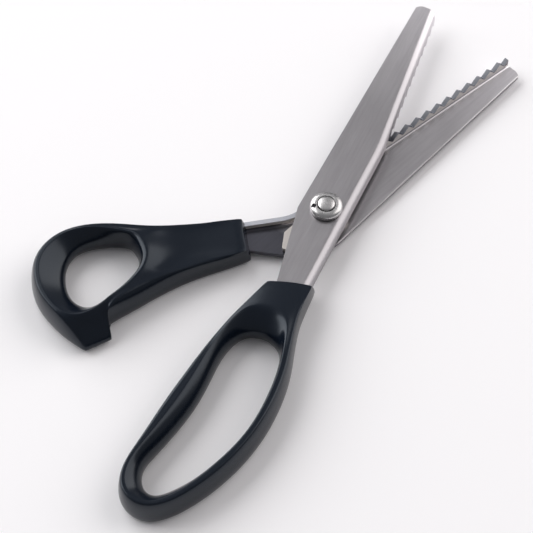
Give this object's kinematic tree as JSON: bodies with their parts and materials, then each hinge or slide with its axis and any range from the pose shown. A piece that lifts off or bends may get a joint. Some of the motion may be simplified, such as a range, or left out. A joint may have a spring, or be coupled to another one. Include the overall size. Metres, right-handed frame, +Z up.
{
  "type": "pinking shears",
  "caption": "Hand shears with two folded steel blades whose toothed edges mesh in a zigzag, a screw pivot and moulded plastic handles with a long finger loop and a round thumb loop.",
  "frame": {"origin": "on the pivot axis, at the flat underside of the screw head, which is also the surface that the shears lie on", "axes": "+X from the pivot to the point of the front blade, along the closed shears; +Z up along the pivot axis, out of the front blade's outer face; the front blade's teeth face -Y"},
  "size_m": [0.2353, 0.1255, 0.0142],
  "materials": {
    "blade_steel": "satin ground along the blade",
    "bearing_steel": "pale satin",
    "bright_steel": "bright polished",
    "spring_steel": "dark hardened",
    "bronze": "satin bronze",
    "black_plastic": "satin gloss, blue-black"
  },
  "bodies": {
    "front_half": {"front_blade": "blade_steel", "finger_handle": "black_plastic", "front_bearing_plate": "bearing_steel", "pivot_screw": "bright_steel", "pivot_nut": "bright_steel", "spring_washer": "spring_steel", "thrust_washer": "bronze"},
    "rear_half": {"rear_blade": "blade_steel", "rear_bearing_plate": "bearing_steel", "thumb_handle": "black_plastic"}
  },
  "joints": [
    {"name": "blade_pivot", "type": "hinge", "parent": "front_half", "child": "rear_half", "pos_m": [0, 0, 0.0063], "axis": [0, 0, 1], "range_deg": [-40, 20.5]}
  ]
}
